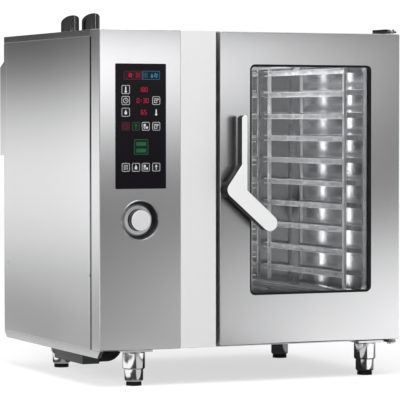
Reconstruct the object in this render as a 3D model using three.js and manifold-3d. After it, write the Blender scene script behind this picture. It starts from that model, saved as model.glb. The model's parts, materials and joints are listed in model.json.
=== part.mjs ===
// Ten-level combi steamer oven: cabinet, cooking cavity, right-hung glazed door,
// turning lever handle, push-and-turn dial, convection fan and levelling feet.
// Millimetres, +Z up, the front faces -Y and the door is hinged on the right (+X).
import * as THREE from 'three';
import { mergeVertices } from 'three/addons/utils/BufferGeometryUtils.js';
import Module from 'manifold-3d';

const wasm = await Module();
wasm.setup();

// ---- driving dimensions -------------------------------------------------
const WIDTH = 1015;            // across the cabinet, along X
const DEPTH = 850;             // front face to rear panel, along Y
const BODY_HEIGHT = 965;       // underside of the cabinet to its top
const FOOT_HEIGHT = 112;
const BASE = FOOT_HEIGHT;      // height of the cabinet's underside
const TOP = BASE + BODY_HEIGHT;
const SHEET = 1.5;             // outer panel thickness
const GAP = 0.3;               // clearance between touching pieces
const FRONT_DEPTH = 70;        // depth of the front layer: control pan and door
const SHELL_FRONT = FRONT_DEPTH + 2;
const TOP_FLANGE = 21;
const RAIL = 22;               // height of the base rails
const WRAP = 26;               // rear panel's turn round the sides

const PANEL_RIGHT = 264;       // control pan ends, trim strip begins
const STRIP_RIGHT = 382;
const DOOR_LEFT = 395;
const DOOR_MARGIN = 3;         // door shorter than the cabinet, top and bottom
const DOOR_BACK = 65;          // rear face of the door

const CAVITY = { left: 400, open: 440, right: 952, front: 78, back: 735, low: 125, high: 885 };
const WINDOW = { left: 496, right: 915, low: 155, high: 863, corner: 17 };
const DISPLAY = { left: 51, right: 215.5, low: 486, high: 862 };
const DIAL = { x: 132, up: 391, rim: 61.5, throat: 44, deep: 20, knob: 32.5 };
const HANDLE = { x: 419, up: 481, front: 58, back: 20, plate: 3 };
const HINGE = { x: 1000, y: 30, pin: 6 };
const FAN = { y: 405, up: 505, radius: 125 };
const BAFFLE_X = 506;
const FEET_X = [136, 926];
const FEET_Y = [63, 680];
const PIPE = { radius: 30, rise: [70, 78], y: 740, x: [191, 264] };
const DUCT = { left: 8, right: 262, low: 576, high: 896, depth: 60 };
const INLET = { radius: 13, up: 85, x: [62, 108], reach: 14 };
const GLAND = { x: 330, up: 60, flange: 18, nut: 16, dome: 13, bore: 6 };
const RACK = { front: 142, back: 694, levels: 10, first: 200, pitch: 72, rail: 17 };

const DRAIN = { left: 50, right: 106, front: 270, back: 516, y: 300, riser: 172, radius: 25,
  cavityX: 690, cavityY: 405 };

const up = (height) => BASE + height;   // height above the cabinet's underside

// ---- shape helpers --------------------------------------------------------
const box = (x0, x1, y0, y1, z0, z1) => solid(
  new THREE.BoxGeometry(x1 - x0, y1 - y0, z1 - z0)
    .translate((x0 + x1) / 2, (y0 + y1) / 2, (z0 + z1) / 2));

function outline(points) {
  return new THREE.Shape(points.map(([a, b]) => new THREE.Vector2(a, b)));
}

function roundedOutline(a0, a1, b0, b1, r) {
  const shape = new THREE.Shape();
  shape.absarc(a1 - r, b0 + r, r, -Math.PI / 2, 0);
  shape.absarc(a1 - r, b1 - r, r, 0, Math.PI / 2);
  shape.absarc(a0 + r, b1 - r, r, Math.PI / 2, Math.PI);
  shape.absarc(a0 + r, b0 + r, r, Math.PI, 1.5 * Math.PI);
  return shape;
}

// Extrusions: the outline lies in XY, XZ or YZ and runs along the third axis.
function alongZ(shape, z0, z1, curveSegments = 6) {
  return solid(extrude(shape, z1 - z0, curveSegments).translate(0, 0, z0));
}

function alongY(shape, y0, y1, curveSegments = 4) {
  return solid(extrude(shape, y1 - y0, curveSegments).rotateX(Math.PI / 2).translate(0, y1, 0));
}

function alongX(shape, x0, x1, curveSegments = 4) {
  const turn = new THREE.Matrix4().makeBasis(
    new THREE.Vector3(0, 1, 0), new THREE.Vector3(0, 0, 1), new THREE.Vector3(1, 0, 0));
  return solid(extrude(shape, x1 - x0, curveSegments).applyMatrix4(turn).translate(x0, 0, 0));
}

function extrude(shape, depth, curveSegments) {
  return new THREE.ExtrudeGeometry(shape, { depth, curveSegments, bevelEnabled: false });
}

// A turned piece: profile of [radius, distance along the axis], from axis to axis or closed.
function turned(profile, axis, at, segments = 24) {
  const shape = new THREE.LatheGeometry(
    profile.map(([r, h]) => new THREE.Vector2(r, h)), segments);
  if (axis === 'z') shape.rotateX(Math.PI / 2);
  if (axis === 'x') shape.rotateZ(-Math.PI / 2);
  return solid(shape.translate(...at));
}

const rod = (radius, from, to, axis, at, segments = 16) => turned(
  [[0, from], [radius, from], [radius, to], [0, to]], axis, at, segments);

function tube(points, radius, sides = 8, steps = 12) {
  const ring = new THREE.Shape();
  ring.absarc(0, 0, radius, 0, 2 * Math.PI);
  const path = new THREE.CatmullRomCurve3(points.map((p) => new THREE.Vector3(...p)), false,
    'catmullrom', 0.2);
  return solid(new THREE.ExtrudeGeometry(ring, {
    steps, curveSegments: sides, extrudePath: path, bevelEnabled: false,
  }));
}

// ---- booleans ----------------------------------------------------------------
function solid(geometry) {
  geometry.deleteAttribute('normal');
  geometry.deleteAttribute('uv');
  const merged = mergeVertices(geometry, 1e-4);
  const index = merged.index.array;
  const triangles = [];
  for (let i = 0; i < index.length; i += 3) {
    const [a, b, c] = index.slice(i, i + 3);
    if (a !== b && b !== c && c !== a) triangles.push(a, b, c);
  }
  const place = merged.attributes.position;
  const corner = (i) => new THREE.Vector3().fromBufferAttribute(place, i);
  let volume = 0;
  for (let i = 0; i < triangles.length; i += 3) {
    const [a, b, c] = triangles.slice(i, i + 3).map(corner);
    volume += a.dot(b.cross(c));
  }
  if (volume < 0) triangles.reverse();
  return new wasm.Manifold(new wasm.Mesh({
    numProp: 3, vertProperties: new Float32Array(place.array),
    triVerts: new Uint32Array(triangles),
  }));
}

const join = (...pieces) => pieces.reduce((all, piece) => all.add(piece));
const cut = (body, ...tools) => tools.reduce((left, tool) => left.subtract(tool), body);

// ---- the scene graph ------------------------------------------------------
const oven = new THREE.Group();

function finish(colour, roughness, metalness) {
  return { color: colour, roughness, metalness };
}

const STEEL = finish(0xb9babb, 0.35, 1);
const POLISHED = finish(0xd5d6d8, 0.12, 1);
const LINER_STEEL = finish(0xc4c5c6, 0.22, 1);
const TRIM_WHITE = finish(0xe2e2e1, 0.45, 0.1);
const BLACK = finish(0x141415, 0.4, 0);
const RUBBER = finish(0x1c1c1d, 0.8, 0);
const GLASS = finish(0xaab4b4, 0.05, 0);
const SCREEN = finish(0x17151a, 0.18, 0);
const CHROME = finish(0xe6e6e8, 0.08, 1);
const DARK_STEEL = finish(0x4b4d50, 0.45, 0.8);
const WOOL = finish(0xcabf9a, 0.95, 0);
const BOARD = finish(0x1d5a34, 0.6, 0);
const BRASS = finish(0xc2a457, 0.3, 1);
const CAST = finish(0x6d7074, 0.6, 0.7);

function add(name, body, look) {
  const result = body.getMesh();
  const geometry = new THREE.BufferGeometry();
  geometry.setAttribute('position', new THREE.BufferAttribute(result.vertProperties, 3));
  geometry.setIndex(new THREE.BufferAttribute(result.triVerts, 1));
  geometry.computeVertexNormals();
  const mesh = new THREE.Mesh(geometry, new THREE.MeshStandardMaterial(look));
  mesh.name = name;
  oven.add(mesh);
}

// ---- frame and feet ------------------------------------------------------
const railSide = (y0, y1) => outline(
  [[y0, BASE], [y0 + RAIL, BASE - RAIL], [y1 - RAIL, BASE - RAIL], [y1, BASE]]);

function baseFrame() {
  const railWidth = 12;
  const floor = 3;
  const plate = 5;
  const rightStart = 130 + GAP;   // leaves room for the lower hinge plate
  const channel = (x0, x1, y0, y1) => cut(alongX(railSide(y0, y1), x0, x1),
    box(x0 + 2, x1 - 2, y0 + RAIL + 2, y1 - RAIL - 2, BASE - RAIL - 1, BASE - floor));
  let frame = join(
    channel(0, railWidth, 0, DEPTH),
    channel(WIDTH - railWidth, WIDTH, rightStart, DEPTH),
    box(railWidth - 1, 973, 40, DEPTH - 4, BASE - floor, BASE),
    box(972, WIDTH - railWidth + 1, rightStart, DEPTH - 4, BASE - floor, BASE));
  for (const x of FEET_X) {
    for (const y of FEET_Y) {
      frame = join(frame, box(x - 44, x + 44, y - 44, y + 44, BASE - floor - plate, BASE - 1));
    }
  }
  const drainHole = rod(27, BASE - 10, BASE + 10, 'z', [DRAIN.riser, DRAIN.y, 0]);
  add('base_frame', cut(frame, drainHole), STEEL);
}

function feet() {
  const sleeveTop = BASE - 8 - GAP;
  const sleeveLow = 50;
  FEET_Y.forEach((y, row) => FEET_X.forEach((x, column) => {
    const place = `${row ? 'rear' : 'front'}_${column ? 'right' : 'left'}`;
    add(`foot_sleeve_${place}`, turned([[0, 92], [30, 92], [30, sleeveLow],
      [34, sleeveLow + 6], [34, sleeveTop], [0, sleeveTop]], 'z', [x, y, 0]), CHROME);
    add(`foot_leg_${place}`, turned([[0, 0], [24, 0], [28.5, 4], [28.5, 90], [0, 90]],
      'z', [x, y, 0]), CHROME);
  }));
}

// ---- outer shell -----------------------------------------------------------
function sidePanels() {
  const z0 = BASE + GAP;
  const z1 = TOP - TOP_FLANGE - GAP;
  const rear = DEPTH - WRAP;
  const fold = 18;
  const profile = (side, inward) => outline([
    [side, SHELL_FRONT], [side + inward * fold, SHELL_FRONT],
    [side + inward * fold, SHELL_FRONT + SHEET], [side + inward * SHEET, SHELL_FRONT + SHEET],
    [side + inward * SHEET, rear - SHEET], [side + inward * fold, rear - SHEET],
    [side + inward * fold, rear], [side, rear]]);
  add('left_side_panel', alongZ(profile(0, 1), z0, z1), STEEL);
  add('right_side_panel', alongZ(profile(WIDTH, -1), z0, z1), STEEL);
  const back = outline([[0, rear + GAP], [SHEET, rear + GAP], [SHEET, DEPTH - SHEET],
    [WIDTH - SHEET, DEPTH - SHEET], [WIDTH - SHEET, rear + GAP], [WIDTH, rear + GAP],
    [WIDTH, DEPTH], [0, DEPTH]]);
  const vent = box(DUCT.left + 30, DUCT.right - 30, DEPTH - 10, DEPTH + 10,
    up(DUCT.low + 30), up(DUCT.high - 60));
  const inlets = INLET.x.map((x) => rod(INLET.radius + 1, DEPTH - 10, DEPTH + 10, 'y',
    [x, 0, up(INLET.up)]));
  add('rear_panel', cut(alongZ(back, z0, z1), vent, ...inlets), STEEL);
}

function topCover() {
  const lid = cut(
    box(0, WIDTH, SHELL_FRONT, DEPTH, TOP - TOP_FLANGE, TOP),
    box(SHEET, WIDTH - SHEET, SHELL_FRONT - 1, DEPTH - SHEET, TOP - TOP_FLANGE - 1, TOP - SHEET));
  const holes = PIPE.x.map((x) => rod(PIPE.radius + 1, TOP - 10, TOP + 10, 'z', [x, PIPE.y, 0], 24));
  add('top_cover', cut(lid, ...holes), STEEL);
}

// Two exhaust stubs, open at both ends, cut at a slant that falls to the rear.
function exhaustPipes() {
  const slope = 0.66;
  PIPE.x.forEach((x, i) => {
    const high = TOP + PIPE.rise[i];
    const wall = turned([[PIPE.radius - 1.5, TOP - 80], [PIPE.radius, TOP - 80],
      [PIPE.radius, high + 20], [PIPE.radius - 1.5, high + 20],
      [PIPE.radius - 1.5, TOP - 80]], 'z', [x, PIPE.y, 0], 24);
    const y0 = PIPE.y - PIPE.radius;
    const y1 = PIPE.y + 2 * PIPE.radius;
    const wedge = alongX(outline([[y0 - 1, high], [y0, high],
      [y1, high - slope * (y1 - y0)], [y1, high + 60], [y0 - 1, high + 60]]), x - 40, x + 40);
    add(`exhaust_pipe_${i + 1}`, cut(wall, wedge), DARK_STEEL);
  });
}

// Hood over the rear air opening: open at the bottom, sloped on top.
function rearDuct() {
  const y0 = DEPTH + GAP;
  const side = (inset) => outline([
    [y0 - (inset ? 5 : 0), up(DUCT.low) - (inset ? 5 : 0)],
    [y0 + DUCT.depth - inset, up(DUCT.low) - (inset ? 5 : 0)],
    [y0 + DUCT.depth - inset, up(DUCT.high - 30) - inset],
    [y0 - (inset ? 5 : 0), up(DUCT.high) - inset]]);
  add('rear_air_duct', cut(alongX(side(0), DUCT.left, DUCT.right),
    alongX(side(SHEET), DUCT.left + SHEET, DUCT.right - SHEET)), STEEL);
}

// ---- control side -----------------------------------------------------------
function controlFront() {
  const z0 = BASE + GAP;
  const pan = (x0, x1) => cut(box(x0, x1, 0, FRONT_DEPTH - 1, z0, TOP),
    box(x0 + SHEET, x1 - SHEET, SHEET, FRONT_DEPTH, z0 + SHEET, TOP - SHEET));
  const displayHole = box(DISPLAY.left + 6, DISPLAY.right - 6, -5, 5,
    up(DISPLAY.low + 6), up(DISPLAY.high - 6));
  const dialHole = rod(58.4, -5, 5, 'y', [DIAL.x, 0, up(DIAL.up)], 36);
  add('control_fascia', cut(pan(0, PANEL_RIGHT), displayHole, dialHole), STEEL);
  add('fascia_trim_strip', pan(PANEL_RIGHT + GAP, STRIP_RIGHT), TRIM_WHITE);
  add('display_panel', alongY(roundedOutline(DISPLAY.left, DISPLAY.right,
    up(DISPLAY.low), up(DISPLAY.high), 5), -1.8, -GAP), SCREEN);
  const board = join(
    box(DISPLAY.left + 8, DISPLAY.right - 8, 14, 16, up(DISPLAY.low + 12), up(DISPLAY.high - 12)),
    box(90, 170, 15, 26, up(520), up(580)),
    box(75, 120, 15, 22, up(640), up(690)),
    box(140, 195, 15, 30, up(730), up(800)));
  add('display_board', board, BOARD);
}

function dial() {
  const at = [DIAL.x, 0, up(DIAL.up)];
  const wall = 1.2;
  const floor = DIAL.deep;
  add('dial_dish', turned([
    [6, floor], [DIAL.throat, floor], [DIAL.rim - 5, -1.2], [DIAL.rim - 2, -2], [DIAL.rim, -GAP],
    [DIAL.rim - 4, -GAP], [DIAL.throat + wall, floor + wall], [6, floor + wall], [6, floor],
  ], 'y', at, 36), POLISHED);
  add('dial_encoder', cut(box(DIAL.x - 16, DIAL.x + 16, floor + wall + GAP, 46,
    up(DIAL.up) - 16, up(DIAL.up) + 16), rod(3.6, 10, 43, 'y', at)), BOARD);
  add('encoder_spindle', rod(3, 10, 38, 'y', at), STEEL);
  add('dial_knob', turned([
    [0, 8], [3 + GAP, 8], [3 + GAP, 17], [DIAL.knob - 2, 17], [DIAL.knob, 15], [DIAL.knob, -2],
    [DIAL.knob - 3, -6.5], [DIAL.knob - 5, -7], [DIAL.knob - 7, -5.5], [0, -5],
  ], 'y', at, 36), POLISHED);
}

// ---- cavity -----------------------------------------------------------------
function cavityLiner() {
  const t = 1.2;
  const c = CAVITY;
  const fanShaft = rod(12, c.left - 10, c.left + 10, 'x', [0, FAN.y, up(FAN.up)]);
  const drain = rod(30, up(c.low) - 10, up(c.low) + 10, 'z', [DRAIN.cavityX, DRAIN.cavityY, 0]);
  const tub = cut(
    alongY(roundedOutline(c.left - t, c.right + t, up(c.low) - t, up(c.high) + t, 26),
      SHELL_FRONT, c.back + t, 3),
    alongY(roundedOutline(c.left, c.right, up(c.low), up(c.high), 25), SHELL_FRONT - 1, c.back, 3));
  add('cavity_liner', cut(tub, fanShaft, drain), LINER_STEEL);

  const mouth = alongY(roundedOutline(c.open, c.right, up(c.low), up(c.high), 25),
    FRONT_DEPTH - 5, FRONT_DEPTH + 5, 3);
  const face = alongY(outline([[STRIP_RIGHT + 1, BASE + GAP], [WIDTH, BASE + GAP], [WIDTH, TOP],
    [STRIP_RIGHT + 1, TOP]]), FRONT_DEPTH, SHELL_FRONT - GAP);
  const latchSlot = box(HANDLE.x - 7.5, HANDLE.x + 6.7, FRONT_DEPTH - 5, FRONT_DEPTH + 5,
    up(HANDLE.up) - 15, up(HANDLE.up) + 15);
  add('cavity_front_frame', cut(face, mouth, latchSlot), STEEL);

  const ring = (spread, r) => roundedOutline(c.open - spread, c.right + spread,
    up(c.low - spread), up(c.high + spread), r);
  add('door_gasket', cut(alongY(ring(14, 38), DOOR_BACK + GAP, FRONT_DEPTH - GAP, 3),
    alongY(ring(2, 27), DOOR_BACK - 5, FRONT_DEPTH + 5, 3)), RUBBER);

  const strainer = rod(45, up(c.low) + GAP, up(c.low) + 3, 'z', [DRAIN.cavityX, DRAIN.cavityY, 0], 24);
  const holes = [];
  for (let i = 0; i < 8; i += 1) {
    const angle = (i * Math.PI) / 4;
    holes.push(rod(5, up(c.low) - 5, up(c.low) + 8, 'z',
      [DRAIN.cavityX + 24 * Math.cos(angle), DRAIN.cavityY + 24 * Math.sin(angle), 0], 8));
  }
  add('drain_strainer', cut(strainer, ...holes), LINER_STEEL);
}

// Guide plate in front of the fan: folded to the side wall, with a round intake grille
// in the middle and blow-out slots above and below it.
function airBaffle() {
  const c = CAVITY;
  const plate = alongZ(outline([[c.left + 4, 86], [BAFFLE_X, 86], [BAFFLE_X, c.back - 4],
    [BAFFLE_X - 2, c.back - 4], [BAFFLE_X - 2, 88], [c.left + 4, 88]]),
  up(c.low + 26), up(c.high - 26));
  const slots = [];
  const slotStep = 26;
  for (let i = -3; i <= 3; i += 1) {
    const reach = Math.sqrt(105 ** 2 - (i * slotStep) ** 2);
    slots.push(box(BAFFLE_X - 10, BAFFLE_X + 10, FAN.y - reach, FAN.y + reach,
      up(FAN.up) + i * slotStep - 8, up(FAN.up) + i * slotStep + 8));
  }
  for (const height of [c.low + 50, c.high - 66]) {
    for (const y of [150, 350, 550]) {
      slots.push(box(BAFFLE_X - 10, BAFFLE_X + 10, y, y + 130, up(height), up(height + 16)));
    }
  }
  add('air_baffle', cut(plate, ...slots), LINER_STEEL);
}

function heatingCoil() {
  const radius = 152;
  const bar = 5;
  const hoops = [436, 456, 476].map((x) => turned([[radius - bar, 0], [radius, -bar],
    [radius + bar, 0], [radius, bar], [radius - bar, 0]], 'x', [x, FAN.y, up(FAN.up)], 28));
  const header = box(401, 480, FAN.y - 14, FAN.y + 14,
    up(FAN.up) - radius - 6, up(FAN.up) - radius + 6);
  add('heating_coil', join(...hoops, header), DARK_STEEL);
}

function fan() {
  const at = [0, FAN.y, up(FAN.up)];
  const blades = 14;
  let wheel = join(
    rod(FAN.radius, 419, 422, 'x', at, 36),
    rod(20, 421, 440, 'x', at),
    turned([[FAN.radius - 26, 478], [FAN.radius, 478], [FAN.radius, 481], [FAN.radius - 26, 481],
      [FAN.radius - 26, 478]], 'x', at, 36));
  for (let i = 0; i < blades; i += 1) {
    const blade = new THREE.BoxGeometry(58, 24, 2);
    blade.translate(450, FAN.radius - 13, 0).rotateX((2 * Math.PI * i) / blades);
    wheel = join(wheel, solid(blade.translate(...at)));
  }
  add('fan_wheel', cut(wheel, rod(8 + GAP, 410, 450, 'x', at)), LINER_STEEL);
  add('fan_shaft', rod(8, 372, 446, 'x', at), STEEL);
  add('fan_motor', cut(join(rod(78, 262, 380, 'x', at, 24), rod(95, 380, 386, 'x', at, 24)),
    rod(9, 366, 400, 'x', at)), CAST);
}

// A hook-in rack: two posts and ten channel rails, open to the middle of the cavity.
function rack(name, x, inward) {
  const low = up(CAVITY.low + 34);
  const high = up(CAVITY.high - 22);
  const post = (y) => box(x - 5, x + 5, y - 5, y + 5, low, high);
  const rails = [];
  for (let level = 0; level < RACK.levels; level += 1) {
    const z = up(RACK.first + level * RACK.pitch) - RACK.rail / 2;
    const lip = 18 * inward;
    const section = outline([[x - 4 * inward, z], [x + lip, z], [x + lip, z + 2],
      [x - 2 * inward, z + 2], [x - 2 * inward, z + RACK.rail - 2], [x + lip, z + RACK.rail - 2],
      [x + lip, z + RACK.rail], [x - 4 * inward, z + RACK.rail]]);
    rails.push(alongY(section, RACK.front - 5, RACK.back + 5));
  }
  add(name, join(post(RACK.front), post(RACK.back), ...rails), POLISHED);
}

function lamp() {
  const ceiling = up(CAVITY.high);
  add('cavity_lamp', turned([[0, ceiling - 18], [14, ceiling - 17], [22, ceiling - 8],
    [30, ceiling - 7], [30, ceiling - GAP], [0, ceiling - GAP]], 'z', [890, 170, 0], 16), GLASS);
}

// Slabs of mineral wool on the outside of the liner.
function insulation() {
  const c = CAVITY;
  const t = 1.2;
  const thick = 40;
  const side = c.right + t + GAP;
  add('insulation_top', box(c.left, c.right, 76, c.back, up(c.high) + t + GAP, up(c.high) + thick), WOOL);
  add('insulation_right', box(side, side + thick, 76, c.back, up(c.low), up(c.high)), WOOL);
}

// ---- inside the control compartment -----------------------------------------
function services() {
  const rail = box(20, 30, 140, 520, up(640), up(652));
  let contactors = box(20, 26, 140, 520, up(560), up(760));
  for (let i = 0; i < 4; i += 1) {
    contactors = join(contactors, box(25, 95, 160 + i * 88, 220 + i * 88, up(610), up(690)));
  }
  add('contactor_panel', join(contactors, rail), BOARD);
  const outlet = [305, 600, 0];
  const generator = join(box(230, 380, 520, 680, up(60), up(330)),
    rod(24, up(330) - 1, up(372), 'z', outlet));
  add('steam_generator', cut(generator, box(232, 378, 522, 678, up(62), up(328)),
    rod(22, up(320), up(380), 'z', outlet)), LINER_STEEL);
  let valve = box(40, 130, DEPTH - 60, DEPTH - 12, up(INLET.up - 25), up(INLET.up + 25));
  for (const x of INLET.x) {
    valve = join(valve,
      rod(INLET.radius, DEPTH - 20, DEPTH + INLET.reach, 'y', [x, 0, up(INLET.up)]),
      rod(15, up(INLET.up + 24), up(INLET.up + 65), 'z', [x, DEPTH - 36, 0]));
  }
  add('water_valve', valve, BRASS);
  const coolingAt = [135, 0, up(740)];
  add('cooling_fan', cut(box(75, 195, 770, 808, up(680), up(800)),
    turned([[14, 760], [52, 760], [52, 820], [14, 820], [14, 760]], 'y', coolingAt, 24),
  ).add(box(75, 195, 802, 806, up(736), up(744))), BLACK);
}

// Gland for the supply cable, low on the rear panel, with a blind bore.
function cableGland() {
  const at = [GLAND.x, 0, up(GLAND.up)];
  const face = DEPTH + GAP;
  const shell = join(
    rod(GLAND.flange, face, face + 3, 'y', at, 24),
    rod(GLAND.nut, face + 2, face + 13, 'y', at, 6),
    turned([[0, face + 12], [GLAND.dome, face + 12], [GLAND.dome, face + 20],
      [GLAND.dome - 4, face + 26], [0, face + 26]], 'y', at, 20));
  add('cable_gland', cut(shell, rod(GLAND.bore, face + 5, face + 30, 'y', at)), BLACK);
}

// Drain trap under the left of the base, with its elbow up through the floor plate.
function drain() {
  const low = BASE - 64;
  const axis = BASE - 36;
  const outlet = rod(DRAIN.radius, DRAIN.back - 1, DRAIN.back + 34, 'y',
    [(DRAIN.left + DRAIN.right) / 2, 0, axis], 20);
  add('drain_trap', join(outlet,
    box(DRAIN.left, DRAIN.right, DRAIN.front, DRAIN.back, low, BASE - 3 - GAP)), DARK_STEEL);
  const r = DRAIN.radius - 3;
  add('drain_elbow', tube([[DRAIN.right + GAP, DRAIN.y, axis], [DRAIN.riser - 38, DRAIN.y, axis],
    [DRAIN.riser - 12, DRAIN.y, axis + 11], [DRAIN.riser, DRAIN.y, axis + 38],
    [DRAIN.riser, DRAIN.y, BASE + 40]], r, 10, 8), BLACK);
}

// ---- door ---------------------------------------------------------------------
// The door is an outer frame with a glued pane, and an inner frame with a second pane.
function door() {
  const z0 = BASE + DOOR_MARGIN;
  const z1 = TOP - DOOR_MARGIN;
  const w = WINDOW;
  const split = 34;                 // where the outer frame meets the inner one
  const hole = (spread, y0, y1) => alongY(roundedOutline(w.left - spread, w.right + spread,
    up(w.low - spread), up(w.high + spread), w.corner + spread), y0, y1, 3);
  const pinHole = rod(HINGE.pin + GAP, z0 - 20, z1 + 20, 'z', [HINGE.x, HINGE.y, 0], 12);
  const spindleHole = rod(10, -5, DOOR_BACK + 5, 'y', [HANDLE.x, 0, up(HANDLE.up)], 16);
  const rim = 22;                   // frame round the window, inside each pan
  const surround = (y0, y1) => box(w.left - rim, w.right + rim, y0, y1,
    up(w.low - rim), up(w.high + rim));
  const hollow = (y0, y1) => cut(box(DOOR_LEFT + 6, WIDTH - 6, y0, y1, z0 + 6, z1 - 6),
    surround(y0 - 1, y1 + 1));
  add('door_outer_frame', cut(box(DOOR_LEFT, WIDTH, 0, split, z0, z1),
    hollow(2, split + 1), hole(0, -5, split + 5), hole(14, 9, split + 5),
    pinHole, spindleHole), STEEL);
  add('door_inner_frame', cut(
    box(DOOR_LEFT + 4, WIDTH - 4, split + GAP, DOOR_BACK, z0 + 2, z1 - 2),
    hollow(split - 1, DOOR_BACK - 2), hole(0, -5, DOOR_BACK + 5), spindleHole,
    box(HINGE.x - 10, WIDTH, split - 5, HINGE.y + 10, z0 - 5, z1 + 5)), STEEL);
  add('window_glass_outer', hole(13.5, 14, 19), GLASS);
  add('window_seal', cut(hole(13.5, 9 + GAP, 14 - GAP), hole(-7, 0, 20)), RUBBER);
  add('window_glass_inner', hole(-GAP, 57, 62), GLASS);
}

// Boomerang lever: a slim upright arm and a wide arm falling to the lower right,
// both turning about the spindle at the elbow.
function leverOutline(grow) {
  const shape = new THREE.Shape();
  const arm = 24.3 + grow;
  const slant = -38.7 * (Math.PI / 180);
  const tip = [118, -103];
  const upLeft = 24 - grow;
  const upRight = 41 + grow;
  const armTop = 219 + grow;
  const soft = 8;
  shape.moveTo(upLeft, 76);
  shape.lineTo(upLeft, armTop);
  shape.absarc(upRight - soft - grow, armTop, soft + grow, Math.PI / 2, 0, true);
  shape.lineTo(upRight, -2);
  shape.absarc(tip[0], tip[1], arm, slant + Math.PI / 2, slant - Math.PI / 2, true);
  shape.absarc(0, 0, arm, slant - Math.PI / 2, 0.78 * Math.PI - 2 * Math.PI, true);
  shape.closePath();
  return shape;
}

function handle() {
  const place = (body) => body.translate([HANDLE.x, 0, up(HANDLE.up)]);
  const at = [HANDLE.x, 0, up(HANDLE.up)];
  const lever = place(alongY(leverOutline(-0.8), -HANDLE.front + HANDLE.plate + GAP, -HANDLE.back, 5));
  add('handle_lever', join(lever, rod(24, -HANDLE.back - 1, -8 - 2 * GAP, 'y', at, 24)), BLACK);
  add('handle_faceplate', place(alongY(leverOutline(0), -HANDLE.front, -HANDLE.front + HANDLE.plate, 5)),
    TRIM_WHITE);
  add('handle_escutcheon', turned([[11, -8], [22, -8], [24, -6], [24, -GAP], [11, -GAP], [11, -8]],
    'y', at, 20), BLACK);
  const tongue = box(HANDLE.x - 5, HANDLE.x + 5, 74, 80, up(HANDLE.up) - 13, up(HANDLE.up) + 13);
  add('latch_spindle', join(rod(6, -8 - GAP, 76, 'y', at), tongue), STEEL);
}

// The keeper is a sealed cup behind the front frame, in which the tongue turns.
function latchKeeper() {
  const x = HANDLE.x;
  const z = up(HANDLE.up);
  const y0 = SHELL_FRONT;
  add('latch_keeper', cut(box(x - 15.5, x + 15.5, y0, 85, z - 26, z + 26),
    box(x - 14, x + 14, y0 - 1, 83.5, z - 24, z + 24)), STEEL);
}

function hinges() {
  const left = 986;
  const right = 1013;
  const arm = (y0) => {
    const shape = new THREE.Shape();
    const mid = (left + right) / 2;
    shape.moveTo(right, 130);
    shape.lineTo(left, 130);
    shape.lineTo(left, y0);
    shape.absarc(mid, y0, (right - left) / 2, Math.PI, 2 * Math.PI);
    shape.closePath();
    return shape;
  };
  const topLow = TOP + GAP;
  const pinAt = [HINGE.x, HINGE.y, 0];
  add('upper_hinge_bracket', cut(alongZ(arm(22), topLow, topLow + 6),
    rod(HINGE.pin + GAP, TOP - 5, TOP + 20, 'z', pinAt, 12)), STEEL);
  add('upper_hinge_cap', alongZ(outline([[left, 46], [right, 46], [right, 130], [left, 130]]),
    topLow + 6 + GAP, topLow + 13), BLACK);
  add('upper_hinge_pin', turned([[0, TOP - 40], [HINGE.pin, TOP - 40], [HINGE.pin, topLow + 6 + GAP],
    [11, topLow + 6 + GAP], [11, topLow + 12], [0, topLow + 12]], 'z', pinAt, 16), CHROME);
  const plateLow = BASE - 9;
  add('lower_hinge_bracket', cut(alongZ(arm(22), plateLow, BASE - GAP),
    rod(HINGE.pin + GAP, BASE - 20, BASE + 5, 'z', pinAt, 12)), DARK_STEEL);
  add('lower_hinge_pin', turned([[0, plateLow - 5], [10, plateLow - 5], [10, plateLow - GAP],
    [HINGE.pin, plateLow - GAP], [HINGE.pin, BASE + 40], [0, BASE + 40]], 'z', pinAt, 16), CHROME);
}

baseFrame();
feet();
sidePanels();
topCover();
exhaustPipes();
rearDuct();
controlFront();
dial();
cavityLiner();
airBaffle();
heatingCoil();
fan();
rack('rack_left', 562, 1);
rack('rack_right', 893, -1);
lamp();
insulation();
services();
cableGland();
drain();
door();
handle();
latchKeeper();
hinges();

// Origin on the floor, under the middle of the whole object's box.
oven.position.set(-WIDTH / 2, -(DEPTH + GAP + DUCT.depth - HANDLE.front) / 2, 0);

export default oven;
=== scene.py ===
import json
import math

import bmesh
import bpy
from mathutils import Matrix, Vector

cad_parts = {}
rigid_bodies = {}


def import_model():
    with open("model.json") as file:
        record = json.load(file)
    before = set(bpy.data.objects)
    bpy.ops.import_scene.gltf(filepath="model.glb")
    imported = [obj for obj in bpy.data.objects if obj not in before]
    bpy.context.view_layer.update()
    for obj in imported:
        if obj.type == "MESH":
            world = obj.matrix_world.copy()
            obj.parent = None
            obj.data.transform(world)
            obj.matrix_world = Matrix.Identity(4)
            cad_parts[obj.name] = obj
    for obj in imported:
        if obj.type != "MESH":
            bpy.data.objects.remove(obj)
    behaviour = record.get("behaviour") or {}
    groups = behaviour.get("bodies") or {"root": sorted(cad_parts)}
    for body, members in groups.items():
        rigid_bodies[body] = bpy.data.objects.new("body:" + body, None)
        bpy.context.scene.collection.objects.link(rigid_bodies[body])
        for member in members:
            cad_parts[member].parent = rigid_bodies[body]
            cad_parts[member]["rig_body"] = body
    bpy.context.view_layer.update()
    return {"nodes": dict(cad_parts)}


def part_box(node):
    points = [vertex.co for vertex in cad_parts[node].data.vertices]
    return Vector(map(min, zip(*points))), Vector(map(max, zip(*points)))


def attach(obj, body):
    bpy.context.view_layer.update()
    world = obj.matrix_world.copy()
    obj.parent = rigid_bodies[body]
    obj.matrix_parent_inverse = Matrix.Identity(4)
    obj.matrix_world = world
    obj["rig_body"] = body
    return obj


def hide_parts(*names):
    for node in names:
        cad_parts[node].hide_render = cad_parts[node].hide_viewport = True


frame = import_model()
NODES = frame["nodes"]

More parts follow.
